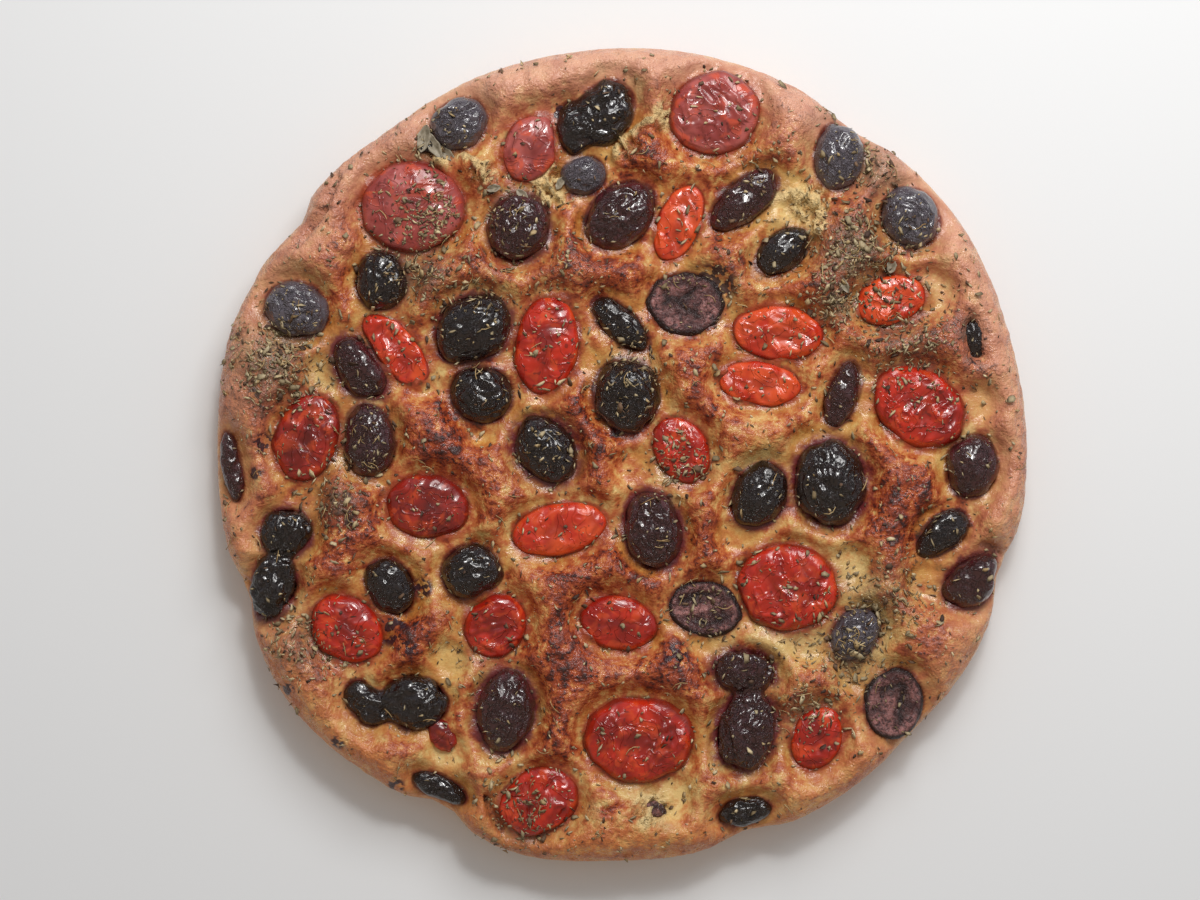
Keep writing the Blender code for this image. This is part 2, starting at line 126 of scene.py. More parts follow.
# Splits in the crust: from (x, y) to (x, y), half width and depth, in millimetres
SPLITS = (
    (-108, 70, -99, 81.5, 1.5, 4.5), (-99, 81.5, -94, 92, 1.1, 2.4), (-127, -42, -117, -46, 1.2, 2.2),
    (-6, -117, 5, -114, 1.2, 2.6), (115.9, 43.5, 117.3, 33.5, 3.6, 7.0),
    (-45, -113, -40, -124, 1.2, 2.4), (120, -30, 129, -34, 1.2, 2.0),
)

# Raised ragged edges of torn dough, in the same form: half width and height
RAGGED = (
    (49, 85, 56, 87.5, 1.7, 2.6), (56, 87.5, 63, 85, 1.9, 3.2), (63, 85, 66.5, 79.5, 1.8, 3.0),
    (66.5, 79.5, 65.5, 74, 1.6, 2.4), (58, 81.5, 62, 77.5, 1.0, 1.8), (-31, 93, -25, 90, 1.3, 2.6),
    (-25, 90, -20, 85.5, 1.3, 2.4), (-28, 87.5, -24, 83.5, 1.1, 1.8), (-53, 99, -46, 95, 1.2, 2.2),
    (-46, 95, -44, 90.5, 1.1, 1.8), (4, 106, 9, 110, 1.3, 1.8),
)

# Olives whose juice has run into the dough: how far it ran, in millimetres, and how far elsewhere
JUICE = {
    "24": 2.6, "17": 3.0, "30": 2.2, "18": 1.6, "03": 1.6,
    "13": 1.4, "23": 1.3, "11": 2.2, "pair_3": 2.6, "pair_2": 1.8,
    "27": 1.2, "28": 1.2,
}
DRY_JUICE = 0.25

# The crust's mesh: rings from the middle to the lower edge, how many of them the shoulder, the side
# and the lower edge take, and the shares of the radius at which more rings close the base
CRUST_RINGS = 142
SHOULDER_RINGS = 17
SIDE_RINGS = 9
EDGE_RINGS = 5
SIDE_START = CRUST_RINGS - SIDE_RINGS - EDGE_RINGS
FLAT_RINGS = SIDE_START - SHOULDER_RINGS
SIDE_FADE = 6
BASE_SHARES = (0.985, 0.93, 0.8, 0.55, 0.28)

# How far round a topping the dough answers to it, and the half width taken where there is none
REACH = 22 * MM
NO_TOPPING_HALF = 8 * MM

# A topping's mesh
TOPPING_VOXEL = 0.55 * MM
LOOP_STEPS = 8

# Reading the solids: corners nearer to a level than this are on it, and the rim is beyond the radius
ON_LEVEL = 0.01 * MM
ON_FOOT = 0.02 * MM
LEAST_RIM = 120 * MM

SEED = 11


def rgba(colour, strength=1.0):
    """Linear colour of the eight-bit one."""
    parts = (c / 255 for c in colour)
    linear = (c / 12.92 if c <= 0.04045 else ((c + 0.055) / 1.055) ** 2.4 for c in parts)
    return (*(strength * c for c in linear), 1.0)


# Noise

HASH_STEPS = (73856093, 19349663, 83492791)
HASH_SEED, HASH_CHANNEL = 2654435761, 40503
HASH_ROUNDS = ((15, 2246822519), (13, 3266489917))
HASH_MASK = 0xFFFFFFFF
NOISE_GAIN = 1.7
LAYERED_GAIN = 1.6


def lattice(cell, seed, channel):
    """A repeatable number from -1 to 1 for every lattice point."""
    x, y, z = (cell * HASH_STEPS).T
    mixed = (x ^ y ^ z ^ (seed * HASH_SEED + channel * HASH_CHANNEL)) & HASH_MASK
    for shift, factor in HASH_ROUNDS:
        mixed = (mixed ^ (mixed >> shift)) * factor & HASH_MASK
    return (mixed ^ (mixed >> 16)) / 0x7FFFFFFF - 1.0


def noise(points, size, seed):
    """Gradient noise, about -1 to 1, with lumps of the given size."""
    scaled = np.asarray(points, float) / size
    cell = np.floor(scaled).astype(np.int64)
    local = scaled - cell
    fade = local**3 * (local * (local * 6 - 15) + 10)
    total = np.zeros(len(scaled))
    for corner in itertools.product((0, 1), repeat=3):
        at = cell + corner
        off = local - corner
        slope = sum(off[:, k] * lattice(at, seed, k) for k in range(3))
        weight = np.prod([fade[:, k] if corner[k] else 1 - fade[:, k] for k in range(3)], axis=0)
        total += weight * slope
    return np.clip(total * NOISE_GAIN, -1, 1)


def layered(points, size, seed, layers):
    """Noise with finer and fainter noise over it."""
    return sum(noise(points, size / 2**k, seed + k) / 2**k for k in range(layers)) / LAYERED_GAIN


def creases(points, size, seed):
    """1 on thin winding lines, falling through 0 between them."""
    return 1 - np.abs(noise(points, size, seed)) * 2.2


def ridges(points, size, seed, thin=3.5):
    """1 along thin winding ridges, 0 between them."""
    return np.clip(1 - np.abs(noise(points, size, seed)) * thin, 0, 1)


def drawn_out(points, axis, by):
    """The points squeezed along an axis, so that a pattern in them comes out long that way."""
    return points - axis * (points @ axis)[:, None] * by


def bent(points, size, far, seed):
    """The points with a wavy shift, so that a pattern in them winds."""
    return points + far * np.column_stack([noise(points, size, seed + k) for k in range(3)])


def step(value, low, high):
    """0 below low, 1 above high, smooth between."""
    share = np.clip((value - low) / (high - low), 0, 1)
    return share * share * (3 - 2 * share)


def bell(value, power=2):
    """1 at 0, falling smoothly to 0 on both sides."""
    return np.exp(-(value**power))


def from_spot(plan, x, y):
    """Distance in plan from a spot that is given in millimetres."""
    return np.hypot(plan[:, 0] - x * MM, plan[:, 1] - y * MM)


def on_spots(plan, spots, power):
    """1 at each spot (x, y, radius), falling to 0 round it; a higher power has a sharper edge."""
    share = np.zeros(len(plan))
    for x, y, radius in spots:
        share = np.maximum(share, bell(from_spot(plan, x, y) / (radius * MM), power))
    return share


# Meshes

def new_mesh(name, corners, faces):
    """A mesh from an array of corners and a list or array of faces."""
    mesh = bpy.data.meshes.new(name)
    mesh.from_pydata(corners.tolist(), [], faces if isinstance(faces, list) else faces.tolist())
    mesh.validate()
    return mesh


@contextmanager
def editing(mesh):
    """The mesh as a bmesh, written back at the end."""
    bm = bmesh.new()
    bm.from_mesh(mesh)
    yield bm
    bm.to_mesh(mesh)
    bm.free()


def vectors(items, name):
    flat = np.empty(len(items) * 3, np.float32)
    items.foreach_get(name, flat)
    return flat.reshape(-1, 3).astype(float)


def corners_of(mesh):
    return vectors(mesh.vertices, "co")


def move_corners(mesh, corners):
    mesh.vertices.foreach_set("co", corners.astype(np.float32).ravel())
    mesh.update()


def push(mesh, amount):
    """Move every corner along its normal."""
    move_corners(mesh, corners_of(mesh) + vectors(mesh.vertex_normals, "vector") * amount[:, None])


def store(mesh, name, values):
    """Keep one number a corner for the material to read."""
    layer = mesh.attributes.new(name, "FLOAT", "POINT")
    layer.data.foreach_set("value", np.asarray(values, np.float32))


def placed(name, data):
    """A new object in the scene."""
    made = bpy.data.objects.new(name, data)
    bpy.context.scene.collection.objects.link(made)
    return made


def show(mesh, name, material, slot, nodes=()):
    """Put a finished mesh in the scene as a piece of the part."""
    piece = placed(name, mesh)
    mesh.materials.clear()
    mesh.materials.append(material)
    mesh.shade_smooth()
    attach(piece, BODY)
    if nodes:
        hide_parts(*nodes)
    return piece


# The toppings, read from their solids

@dataclass
class Topping:
    node: str
    kind: str
    loop: np.ndarray
    level: float
    low: float
    high: float
    half: float

    @property
    def number(self):
        """Its name without the kind, such as 07 or pair_3."""
        return self.node.split("_", 1)[1]


def welded(node):
    """A node's corners without doubles, and its triangles."""
    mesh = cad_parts[node].data
    corners = np.round(corners_of(mesh), 6)
    corners, index = np.unique(corners, axis=0, return_inverse=True)
    index = index.ravel()
    triangles = [[int(index[v]) for v in face.vertices] for face in mesh.polygons]
    return corners, [t for t in triangles if len(set(t)) == 3]


def widest_loop(corners, triangles):
    """The closed ring of corners where a topping is widest, in order."""
    away = np.hypot(*(corners[:, :2] - corners[:, :2].mean(axis=0)).T)
    level = corners[away.argmax(), 2]
    ring = set(np.flatnonzero(np.abs(corners[:, 2] - level) < ON_LEVEL).tolist())
    beside = {corner: set() for corner in ring}
    for triangle in triangles:
        for a, b in itertools.permutations(triangle, 2):
            if a in ring and b in ring:
                beside[a].add(b)
    order = [min(ring)]
    while len(order) < len(ring):
        order.append(min(beside[order[-1]] - set(order)))
    return corners[order, :2], float(level)


def rounded(loop):
    """A smooth closed curve through a ring of points."""
    before, after, beyond = (np.roll(loop, k, axis=0) for k in (1, -1, -2))
    linear = after - before
    square = 2 * before - 5 * loop + 4 * after - beyond
    cube = 3 * loop - before - 3 * after + beyond
    shares = np.arange(LOOP_STEPS) / LOOP_STEPS
    curves = [0.5 * (2 * loop + linear * t + square * t**2 + cube * t**3) for t in shares]
    return np.stack(curves, axis=1).reshape(-1, 2)


def signed_distance(points, loop):
    """Distance to a closed curve in plan, negative inside it."""
    start = loop[None]
    run = np.roll(loop, -1, axis=0)[None] - start
    to = points[:, None] - start
    share = np.clip((to * run).sum(-1) / (run * run).sum(-1), 0, 1)
    apart = np.linalg.norm(to - share[..., None] * run, axis=-1).min(axis=1)
    above = loop[None, :, 1] > points[:, 1, None]
    crossed = above != np.roll(above, -1, axis=1)
    rise = np.where(np.abs(run[..., 1]) < 1e-12, 1e-12, run[..., 1])
    cut = start[..., 0] + run[..., 0] * (points[:, 1, None] - start[..., 1]) / rise
    inside = (crossed & (points[:, 0, None] < cut)).sum(axis=1) % 2 == 1
    return np.where(inside, -apart, apart)


def read_toppings():
    found = []
    for node in sorted(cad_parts):
        if node == "bread":
            continue
        corners, triangles = welded(node)
        loop, level = widest_loop(corners, triangles)
        loop = rounded(loop)
        kind = "tomato" if node.startswith("tomato") else "cut" if node.startswith("cut") else "olive"
        half = -signed_distance(loop.mean(axis=0)[None], loop)[0]
        low, high = float(corners[:, 2].min()), float(corners[:, 2].max())
        found.append(Topping(node, kind, loop, level, low, high, abs(half)))
    return found


toppings = read_toppings()


# The crust

def bread_outline():
    """Bearings and radii of the loaf at its widest, from the solid."""
    corners, _ = welded("bread")
    foot = corners[np.abs(corners[:, 2] - SHOULDER_FOOT) < ON_FOOT]
    foot = foot[np.hypot(foot[:, 0], foot[:, 1]) > LEAST_RIM]
    bearing = np.arctan2(foot[:, 1], foot[:, 0])
    order = bearing.argsort()
    return bearing[order], np.hypot(foot[:, 0], foot[:, 1])[order]


OUTLINE = bread_outline()


def outline_radius(bearing):
    return np.interp(bearing, *OUTLINE, period=math.tau)


def crust_grid():
    """Square rings laid on the round loaf: each corner's bearing and ring, and the faces."""
    count = 2 * CRUST_RINGS + 1
    row, column = np.meshgrid(np.arange(count), np.arange(count), indexing="ij")
    a = (column.ravel() - CRUST_RINGS).astype(float)
    b = (row.ravel() - CRUST_RINGS).astype(float)
    wide = np.abs(a) >= np.abs(b)
    along = np.where(wide, a, b)
    across = np.where(wide, b, a)
    safe = np.where(along == 0, 1, along)
    turn = math.pi / 4 * across / safe
    bearing = np.where(wide, turn, math.pi / 2 - turn) + np.where(along < 0, math.pi, 0)
    corner = (row * count + column)[:-1, :-1].ravel()
    faces = np.stack((corner, corner + 1, corner + count + 1, corner + count), axis=1)
    return (bearing + math.pi) % math.tau - math.pi, np.abs(along), faces


def crust_profile(ring):
    """For each ring: how far it is inside the outline, its share of the top's height over the
    shoulder's foot, how far down the side it is, and how far out on the flat middle."""
    rounding = np.clip((ring - FLAT_RINGS) / SHOULDER_RINGS, 0, 1) * math.pi / 2
    side = np.clip((ring - SIDE_START) / SIDE_RINGS, 0, 1)
    under = np.clip((ring - SIDE_START - SIDE_RINGS) / EDGE_RINGS, 0, 1) * math.pi / 2
    inset = SHOULDER_WIDTH * (1 - np.sin(rounding)) + SIDE_LEAN * side
    inset = inset + (LOWER_EDGE_INSET - SIDE_LEAN) * (1 - np.cos(under))
    lower = LOWER_EDGE_HEIGHT / SHOULDER_FOOT
    drop = (1 - lower) * side + lower * np.sin(under)
    return inset, np.cos(rounding), drop, np.clip(ring / FLAT_RINGS, 0, 1)


def survey(plan):
    """What lies round every point in plan: the distance to the nearest topping, olive and tomato,
    the nearest one's size and levels, the olives' stains, and the distance to every dimple."""
    count = len(plan)
    total = np.full(count, math.exp(-REACH / BLEND))
    start = {"nearest": REACH, "olive": REACH, "tomato": REACH, "stain": 0.0}
    start |= {"half": NO_TOPPING_HALF, "level": VALLEY, "low": VALLEY}
    near = SimpleNamespace(**{key: np.full(count, value) for key, value in start.items()})
    for topping in toppings:
        low = topping.loop.min(axis=0) - REACH
        high = topping.loop.max(axis=0) + REACH
        here = np.flatnonzero(((plan > low) & (plan < high)).all(axis=1))
        apart = signed_distance(plan[here], topping.loop)
        total[here] += np.exp(-np.maximum(apart, -topping.half) / BLEND)
        closer = here[apart < near.nearest[here]]
        near.nearest[here] = np.minimum(apart, near.nearest[here])
        for key in ("half", "level", "low"):
            getattr(near, key)[closer] = getattr(topping, key)
        family = near.tomato if topping.kind == "tomato" else near.olive
        family[here] = np.minimum(apart, family[here])
        if topping.kind != "tomato":
            reach = JUICE.get(topping.number, DRY_JUICE) * MM
            run = bell(np.maximum(apart, 0) / reach) * min(1, 0.25 + reach / (3 * MM))
            near.stain[here] = np.maximum(run, near.stain[here])
    for x, y, radius in FINGER_DIMPLES:
        total += np.exp(-(from_spot(plan, x, y) - radius * MM) / BLEND)
    near.away = np.maximum(-BLEND * np.log(total), 0)
    return near


def along_lines(plan, lines):
    """How far the splits or the ragged edges move each point of the crust, in millimetres."""
    far = np.zeros(len(plan))
    for x0, y0, x1, y1, wide, depth in lines:
        start = np.array((x0, y0)) * MM
        run = np.array((x1, y1)) * MM - start
        share = np.clip((plan - start) @ run / (run @ run), 0, 1)
        apart = np.linalg.norm(plan - start - share[:, None] * run, axis=1)
        far = np.maximum(far, depth * bell(apart / (wide * MM)))
    return far


def crust_top(dough, flat):
    """The top's height: mounds, a lip round each topping, and the pocket that the topping sits in."""
    lump = layered(flat, 17 * MM, 3, 2)
    top = VALLEY + MOUND_RISE * dough.mound * (0.93 + 0.07 * lump)
    lip = bell(np.maximum(dough.nearest, 0) / LIP_WIDTH)
    lip_height = dough.level + MM * (0.4 + 1.7 * noise(flat, 8 * MM, 13)) - VALLEY
    top += np.clip(lip_height, 0, LIP_RISE) * lip
    depth = dough.level - dough.low + POCKET_GAP
    lap = LAP * (1 + 0.9 * noise(flat, 7 * MM, 15))
    lap = lap * np.where(dough.tomato <= dough.olive, TOMATO_LAP_FACTOR, 1.0)
    sunk = np.clip((-dough.nearest - lap) / dough.half, 0, 1)
    return top - depth * np.sqrt(1 - (1 - sunk) ** 2)


def roughen(mesh, plan, flat, dough):
    """Give the crust its grain, torn crumb, ragged edges and splits, and keep the base flat."""
    points = corners_of(mesh)
    open_dough = step(dough.nearest, -0.5 * MM, 2.0 * MM)
    grain = layered(points, 6.0 * MM, 21, 2) * 0.75 + noise(points, 2.8 * MM, 33) * 0.42
    dough.torn = on_spots(plan, TORN_CRUMB, 4)
    winding = bent(points, 5 * MM, 2.0 * MM, 38)
    dough.strands = ridges(winding, 6.5 * MM, 35, 4.0) + 0.6 * ridges(winding, 3.6 * MM, 37)
    grain += dough.torn * (2.4 * dough.strands + 1.0 * noise(points, 3 * MM, 36) - 1.2)
    dough.split = along_lines(plan, SPLITS)
    wavy = bent(flat, 3.5 * MM, 1.2 * MM, 44)
    dough.ragged = along_lines(wavy[:, :2], RAGGED) * (1.05 + 0.7 * noise(points, 3.2 * MM, 43))
    relief = grain * (0.35 + 0.75 * dough.mound + dough.torn) + dough.ragged - dough.split
    push(mesh, MM * open_dough * (1 - dough.side) * relief)
    wobble = MM * dough.side * (dough.drop < 1) * layered(points, 7 * MM, 41, 3)
    push(mesh, wobble * 0.35 * (1 - dough.drop))
    points = corners_of(mesh)
    points[:, 2] = np.where(dough.drop > 0.999, 0, np.maximum(points[:, 2], 0))
    move_corners(mesh, points)


def paint(mesh, plan, flat, dough):
    """Keep on every corner of the crust how it has baked, with the painted window haze on the rim and the
    painted shade beside the toppings, for the material to read.
    """
    points = corners_of(mesh)
    side, edge, drop = dough.side, dough.edge, dough.drop
    beside = np.maximum(dough.nearest, 0)
    broad = layered(points, 24 * MM, 5, 2)
    fine = layered(points, 6 * MM, 9, 3)
    puffed = step(dough.away, 0.8 * MM, 6.5 * MM)
    highest = step(dough.away, 4.5 * MM, 9.5 * MM)
    browned = 0.22 + 0.19 * puffed + 0.12 * highest
    browned += (0.17 + 0.09 * puffed) * broad
    browned += (0.22 + 0.12 * puffed) * fine
    toasted = step(noise(flat, 5 * MM, 47), 0.08, 0.45) * bell(beside / (4 * MM))
    browned += 0.30 * toasted
    rim = 1 - step(edge, 0.35, 0.95)
    browned = browned * (1 - 0.75 * rim) + rim * (0.19 + 0.17 * broad + 0.22 * fine)
    patches = sum(more * bell(from_spot(plan, x, y) / (r * MM)) for x, y, r, more in BAKED_PATCHES)
    browned += patches * (1 - 0.4 * rim)
    # Splits come out browner; torn crumb is browner between its strands and paler on them, with painted
    # shade and painted highlight
    browned += 0.25 * np.minimum(dough.split, 1) + dough.torn * (0.10 - 0.35 * dough.strands)
    pale_band = bell((drop - 0.35) / 0.22)
    baked_side = 0.20 + 0.08 * broad + 0.16 * fine + 0.34 * drop**2 - 0.08 * pale_band + 0.6 * patches
    browned = browned * (1 - side) + side * baked_side
    torn = np.maximum(dough.torn, np.clip(dough.ragged, 0, 1))
    strands = np.clip(np.maximum(dough.strands, dough.ragged / 2.4), 0, 1)
    # The rim's own rosy tone, painted paler and pinker towards the window as painted haze; golden takes
    # the rest, most on the side away from the window
    rosy_and_window_haze = 0.45 + 0.4 * np.clip((plan @ HAZE_TOWARDS) / HAZE_REACH, -1, 1)
    inner, outer = step(edge, 0.30, 1.0), step(edge, 1.0, 1.4)
    on_top = {
        "scorched": on_spots(plan, SCORCHED, 2),
        "torn": torn,
        "strands": torn * strands,
        "mound": dough.mound,
        "rim": rim,
        # How near a topping is: the material darkens the dough there with juice and painted contact shade
        "contact": np.exp(-beside / (2.1 * MM)),
        "olive_stain": dough.stain,
        "tomato_stain": np.exp(-np.maximum(dough.tomato, 0) / (1.5 * MM)) * 0.9,
    }
    for name, values in on_top.items():
        store(mesh, name, values * (1 - side))
    store(mesh, "browned", np.clip(browned, 0, 1))
    store(mesh, "rosy_and_window_haze", ((1 - inner) + 0.35 * (inner - outer)) * rosy_and_window_haze * (1 - 0.8 * side))
    store(mesh, "golden", rim * (1 - rosy_and_window_haze) * (0.55 + 0.45 * side))
    store(mesh, "dusted", herb_dust(plan))


def crust_mesh():
    bearing, ring, faces = crust_grid()
    inset, share, drop, middle = crust_profile(ring)
    outline = outline_radius(bearing)
    radius = np.where(inset < SHOULDER_WIDTH, outline - inset, (outline - SHOULDER_WIDTH) * middle)
    plan = np.stack((radius * np.cos(bearing), radius * np.sin(bearing)), axis=1)
    flat = np.column_stack((plan, np.zeros(len(plan))))
    dough = survey(plan)
    dough.mound = 1 - bell(dough.away / MOUND_SPREAD)
    dough.side = step(ring, SIDE_START - SIDE_FADE, SIDE_START)
    dough.edge = (outline - radius) / RIM_BAND
    dough.drop = drop
    above = (crust_top(dough, flat) - SHOULDER_FOOT) * share
    height = np.where(drop > 0, SHOULDER_FOOT * (1 - drop), SHOULDER_FOOT + above)
    mesh = new_mesh("crust", np.column_stack((plan, height)), faces)
    roughen(mesh, plan, flat, dough)
    paint(mesh, plan, flat, dough)
    close_base(mesh)
    return mesh


def herb_dust(plan):
    """How thickly the finest crumbs of oregano lie at each point."""
    dust = np.zeros(len(plan))
    for x, y, spread, count in OREGANO_HEAPS:
        thick = min(1.0, count / (5.0 * spread**2))
        dust = np.maximum(dust, thick * bell(from_spot(plan, x, y) / (1.3 * spread * MM)))
    return dust


def close_base(mesh):
    """Close the underside with shrinking rings."""
    with editing(mesh) as bm:
        rim = [edge for edge in bm.edges if edge.is_boundary]
        for now, before in zip(BASE_SHARES, (1.0, *BASE_SHARES)):
            made = bmesh.ops.extrude_edge_only(bm, edges=rim)["geom"]
            for vert in (item for item in made if isinstance(item, bmesh.types.BMVert)):
                vert.co.x *= now / before
                vert.co.y *= now / before
            rim = [item for item in made if isinstance(item, bmesh.types.BMEdge)]
        face = bmesh.ops.contextual_create(bm, geom=rim)["faces"]
        bmesh.ops.poke(bm, faces=face)
        bmesh.ops.recalc_face_normals(bm, faces=bm.faces)


# Materials

class Nodes:
    """A short way to write a node tree."""

    def __init__(self, tree):
        self.tree = tree

    def feed(self, socket, value):
        """Link a socket to a node's output, or set its value; a colour is an eight-bit one."""
        if isinstance(value, bpy.types.NodeSocket):
            self.tree.links.new(value, socket)
        else:
            socket.default_value = rgba(value) if socket.type == "RGBA" else value

    def add(self, kind, inputs, output, **settings):
        node = self.tree.nodes.new("ShaderNode" + kind)
        for name, value in settings.items():
            setattr(node, name, value)
        for key, value in inputs.items():
            self.feed(node.inputs[key], value)
        return node.outputs[output]

    def number(self, operation, first, second=0.0):
        return self.add("Math", {0: first, 1: second}, 0, operation=operation)

    def times(self, first, second):
        return self.number("MULTIPLY", first, second)

    def between(self, value, low, high, to_low=0.0, to_high=1.0):
        inputs = {"Value": value, "From Min": low, "From Max": high, "To Min": to_low, "To Max": to_high}
        return self.add("MapRange", inputs, "Result", interpolation_type="SMOOTHSTEP")

    def ramp(self, value, *stops):
        """Stops are (place, colour), and a strength where it isn't 1."""
        node = self.tree.nodes.new("ShaderNodeValToRGB")
        points = node.color_ramp.elements
        while len(points) < len(stops):
            points.new(0.5)
        for point, (at, *colour) in zip(points, stops):
            point.position = at
            point.color = rgba(*colour)
        self.feed(node.inputs[0], value)
        return node.outputs[0]


class Shader(Nodes):
    """A material and the nodes that it is made of."""

    def __init__(self, name):
        self.material = bpy.data.materials.new(name)
        self.material.use_nodes = True
        super().__init__(self.material.node_tree)
        self.place = self.add("TexCoord", {}, "Object")

    def read(self, name):
        return self.add("Attribute", {}, "Fac", attribute_name=name)

    def noise(self, size, detail=3.0, rough=0.55, warp=0.0):
        inputs = {"Vector": self.place, "Scale": 1 / size, "Detail": detail}
        return self.add("TexNoise", {**inputs, "Roughness": rough, "Distortion": warp}, "Fac")

    def patches(self, noise, *limits):
        """Noise, given as its size and so on, brought between limits."""
        return self.between(self.noise(*noise), *limits)

    def blend(self, factor, first, second, mode="MIX"):
        return self.add("Mix", {0: factor, 6: first, 7: second}, 2, data_type="RGBA", blend_type=mode)

    def bump(self, height, depth, strength, over=None):
        inputs = {"Height": height, "Distance": depth, "Strength": strength}
        return self.add("Bump", {**inputs, "Normal": over} if over else inputs, "Normal")

    def folds(self, noise, wide, depth, strength):
        """Bump along winding lines."""
        across = self.number("ABSOLUTE", self.number("SUBTRACT", self.noise(*noise), 0.5))
        return self.bump(self.between(across, wide, 0.0), depth, strength)

    def finish(self, **values):
        for name, value in values.items():
            self.feed(self.tree.nodes["Principled BSDF"].inputs[name.replace("_", " ")], value)
        return self.material


def crust_material():
    s = Shader("crust_baked")
    names = ("browned", "mound", "contact", "torn", "strands")
    browned, mound, contact, torn, strands = map(s.read, names)
    fleck = s.noise(3.0 * MM, 4.0, 0.6)
    grain = s.noise(1.0 * MM, 2.0, 0.5)
    crumb = s.noise(1.7 * MM, 3.0, 0.6, 0.5)
    strong = s.between(browned, 0.15, 0.60, 0.45, 1.0)
    strong = s.times(strong, s.between(s.read("rim"), 0.0, 1.0, 1.0, 0.75))
    speckle = s.times(s.number("SUBTRACT", fleck, 0.5), 2.0)
    speckle = s.number("ADD", speckle, s.times(s.number("SUBTRACT", grain, 0.5), 0.5))
    colour = s.ramp(
        s.number("ADD", browned, s.times(speckle, strong)),
        (0.00, (222, 190, 124)),
        (0.16, (210, 158, 94)),
        (0.34, (192, 112, 61)),
        (0.54, (166, 74, 36)),
        (0.76, (120, 45, 23)),
        (1.00, (54, 20, 12)),
    )
    oily = s.times(s.patches((16 * MM, 1.0), 0.46, 0.60, 0.0, 0.5), s.between(mound, 0.5, 0.1))
    colour = s.blend(oily, colour, (204, 150, 70))
    colour = s.blend(s.times(s.read("golden"), 0.6), colour, (224, 146, 70))
    # Rosy rim: its own tone, with painted window haze on the window side
    colour = s.blend(s.read("rosy_and_window_haze"), colour, (213, 160, 134))
    blush = s.times(s.patches((8 * MM, 3.0), 0.45, 0.68), s.between(mound, 0.1, 0.7, 0.0, 0.35))
    colour = s.blend(blush, colour, (148, 70, 52))
    dark = s.patches((1.5 * MM, 2.0, 0.65), 0.565, 0.635)
    dark = s.times(dark, s.between(browned, 0.30, 0.75, 0.0, 0.9))
    colour = s.blend(dark, colour, (50, 22, 22))
    # Darker and browner beside each topping: juice, with painted contact shade that is nearly black at
    # the seam
    wet_and_shade = s.times(contact, s.patches((4 * MM, 2.0), 0.35, 0.65, 0.35, 1.0))
    colour = s.blend(wet_and_shade, colour, (168, 108, 74), "MULTIPLY")
    seam_shade_and_juice = s.between(contact, 0.62, 0.98, 0.0, 0.75)
    colour = s.blend(seam_shade_and_juice, colour, (124, 66, 44), "MULTIPLY")
    juice = s.times(s.read("tomato_stain"), s.between(fleck, 0.35, 0.6))
    colour = s.blend(juice, colour, (164, 66, 32))
    juice = s.times(s.read("olive_stain"), s.patches((3.2 * MM, 2.0), 0.34, 0.58, 0.25, 0.95))
    colour = s.blend(juice, colour, (104, 38, 42))
    burnt = s.times(s.read("scorched"), s.patches((2.6 * MM, 1.0), 0.46, 0.53, 0.25, 1.6))
    colour = s.blend(s.between(burnt, 0.1, 0.8, 0.0, 0.95), colour, (50, 22, 30))
    dust = s.times(s.read("dusted"), s.patches((0.9 * MM, 2.0, 0.6), 0.36, 0.52, 0.3, 1.0))
    colour = s.blend(dust, colour, (116, 98, 78))
    # Torn crumb: painted shade in the gaps between its strands, and pale crumb on the strands, lightened
    # further as a painted highlight on their tops
    gap_shade = s.times(s.number("SUBTRACT", torn, strands), s.between(crumb, 0.62, 0.40, 0.2, 0.75))
    colour = s.blend(gap_shade, colour, (142, 98, 52))
    colour = s.blend(s.between(strands, 0.30, 0.80, 0.0, 0.85), colour, (230, 200, 142))
    rough = s.number("ADD", s.between(fleck, 0.35, 0.65, 0.17, 0.40), s.times(torn, 0.25))
    relief = s.bump(fleck, 1.8 * MM, s.between(mound, 0.1, 0.9, 0.22, 0.75))
    relief = s.bump(grain, 0.7 * MM, s.between(mound, 0.1, 0.9, 0.35, 0.7), relief)
    relief = s.bump(crumb, 2.0 * MM, torn, relief)
    return s.finish(Base_Color=colour, Roughness=rough, Normal=relief)


OILY_COAT = {"Coat_Roughness": 0.06}


def olive_material(name, tone, flank):
    s = Shader(name)
    crown, fold = s.read("crown"), s.read("fold")
    colour = s.blend(s.between(crown, 0.05, 0.5), flank, tone)
    colour = s.blend(s.patches((5 * MM,), 0.5, 0.75, 0.0, 0.5), colour, flank)
    colour = s.blend(s.between(fold, 0.5, 1.0, 0.0, 0.6), tone, colour)
    rough = s.patches((2.0 * MM, 2.0), 0.35, 0.7, 0.10, 0.23)
    deep = s.between(crown, 0.05, 0.4, 0.3, 1.0)
    relief = s.folds((1.9 * MM, 1.0, 0.5, 1.0), 0.10, 0.65 * MM, deep)
    relief = s.bump(s.noise(0.9 * MM, 2.0, 0.5, 0.6), 0.10 * MM, 0.8, relief)
    return s.finish(Base_Color=colour, Roughness=rough, Normal=relief, Coat_Weight=0.55, **OILY_COAT)


def flesh_material():
    s = Shader("olive_cut_face")
    fibre = s.noise(1.6 * MM, 4.0, 0.7, 0.8)
    colour = s.blend(s.between(fibre, 0.35, 0.62), (56, 30, 31), (160, 108, 104))
    colour = s.blend(s.patches((6 * MM, 2.0), 0.45, 0.62, 0.0, 0.8), colour, (60, 32, 34))
    colour = s.blend(s.read("fold"), colour, (34, 18, 18))
    colour = s.blend(s.between(s.read("crown"), 0.22, 0.10), colour, (34, 18, 19))
    return s.finish(Base_Color=colour, Roughness=0.30, Normal=s.bump(fibre, 1.1 * MM, 1.0))


